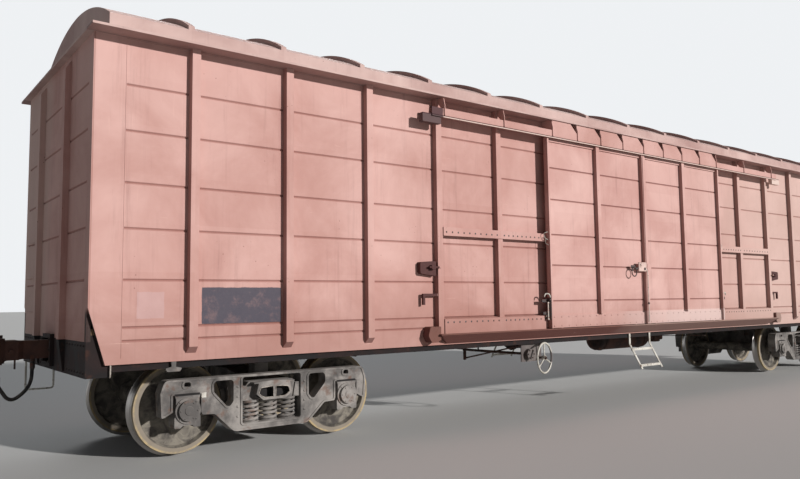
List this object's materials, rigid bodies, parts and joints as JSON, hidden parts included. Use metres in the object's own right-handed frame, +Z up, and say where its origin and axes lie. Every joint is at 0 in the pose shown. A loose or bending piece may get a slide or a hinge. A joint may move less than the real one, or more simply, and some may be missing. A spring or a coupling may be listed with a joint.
{
  "type": "covered railway goods wagon",
  "caption": "Covered railway goods wagon (boxcar) with ribbed walls, hooped arched roof, sliding double doors and two swivelling three-piece bogies.",
  "frame": {"origin": "centre of the wagon's footprint, at the level of the wheel flanges' lowest point, 28 mm below the rail head", "axes": "+X along the wagon to its right-hand end in the picture, +Y across it away from the pictured side, +Z up"},
  "size_m": [17.3538, 3.218, 4.6328],
  "materials": {
    "body_paint": "matte",
    "floor_boards": "matte",
    "wheel_steel": "satin",
    "bogie_casting": "matte",
    "underframe_steel": "matte",
    "white_steel": "satin"
  },
  "bodies": {
    "wagon_body": {"air_reservoir": "underframe_steel", "body_bolsters": "underframe_steel", "brake_cylinder": "underframe_steel", "centre_sill": "underframe_steel", "coupler_left": "underframe_steel", "coupler_right": "underframe_steel", "cross_bearers": "underframe_steel", "door_guide_rails": "body_paint", "door_headers": "body_paint", "door_sill_rails": "body_paint", "doorway_sills": "body_paint", "draft_gears": "underframe_steel", "end_eaves": "body_paint", "end_sills": "underframe_steel", "end_wall_left": "body_paint", "end_wall_right": "body_paint", "floor": "floor_boards", "handbrake": "white_steel", "roof": "body_paint", "rope_hooks": "body_paint", "side_eaves": "body_paint", "side_sills": "body_paint", "side_steps": "white_steel", "side_wall_far_left": "body_paint", "side_wall_far_right": "body_paint", "side_wall_near_left": "body_paint", "side_wall_near_right": "body_paint", "train_pipe": "underframe_steel"},
    "axle_set_left_inner": {"wheelset_left_inner": "wheel_steel"},
    "axle_set_left_outer": {"wheelset_left_outer": "wheel_steel"},
    "axle_set_right_inner": {"wheelset_right_inner": "wheel_steel"},
    "axle_set_right_outer": {"wheelset_right_outer": "wheel_steel"},
    "bogie_left": {"axle_boxes_left": "bogie_casting", "bogie_bolster_left": "bogie_casting", "brake_beams_left": "bogie_casting", "friction_wedges_left": "bogie_casting", "side_frames_left": "bogie_casting", "springs_left": "bogie_casting"},
    "bogie_right": {"axle_boxes_right": "bogie_casting", "bogie_bolster_right": "bogie_casting", "brake_beams_right": "bogie_casting", "friction_wedges_right": "bogie_casting", "side_frames_right": "bogie_casting", "springs_right": "bogie_casting"},
    "door_far_left": {"door_leaf_far_left": "body_paint"},
    "door_far_right": {"door_leaf_far_right": "body_paint"},
    "door_near_left": {"door_leaf_near_left": "body_paint"},
    "door_near_right": {"door_leaf_near_right": "body_paint"}
  },
  "joints": [
    {"name": "swivel_left", "type": "hinge", "parent": "wagon_body", "child": "bogie_left", "pos_m": [-6.12, 0, 0.85], "axis": [0, 0, 1], "range_deg": [-6, 6]},
    {"name": "roll_left_outer", "type": "hinge", "parent": "bogie_left", "child": "axle_set_left_outer", "pos_m": [-7.045, 0, 0.4855], "axis": [0, 1, 0], "continuous": true},
    {"name": "roll_left_inner", "type": "hinge", "parent": "bogie_left", "child": "axle_set_left_inner", "pos_m": [-5.195, 0, 0.4855], "axis": [0, 1, 0], "continuous": true},
    {"name": "swivel_right", "type": "hinge", "parent": "wagon_body", "child": "bogie_right", "pos_m": [6.12, 0, 0.85], "axis": [0, 0, 1], "range_deg": [-6, 6]},
    {"name": "roll_right_outer", "type": "hinge", "parent": "bogie_right", "child": "axle_set_right_outer", "pos_m": [7.045, 0, 0.4855], "axis": [0, 1, 0], "continuous": true},
    {"name": "roll_right_inner", "type": "hinge", "parent": "bogie_right", "child": "axle_set_right_inner", "pos_m": [5.195, 0, 0.4855], "axis": [0, 1, 0], "continuous": true},
    {"name": "slide_near_left", "type": "slide", "parent": "wagon_body", "child": "door_near_left", "axis": [-1, 0, 0], "range_m": [0, 1.89]},
    {"name": "slide_near_right", "type": "slide", "parent": "wagon_body", "child": "door_near_right", "axis": [1, 0, 0], "range_m": [0, 1.89]},
    {"name": "slide_far_left", "type": "slide", "parent": "wagon_body", "child": "door_far_left", "axis": [-1, 0, 0], "range_m": [0, 1.89]},
    {"name": "slide_far_right", "type": "slide", "parent": "wagon_body", "child": "door_far_right", "axis": [1, 0, 0], "range_m": [0, 1.89]}
  ]
}
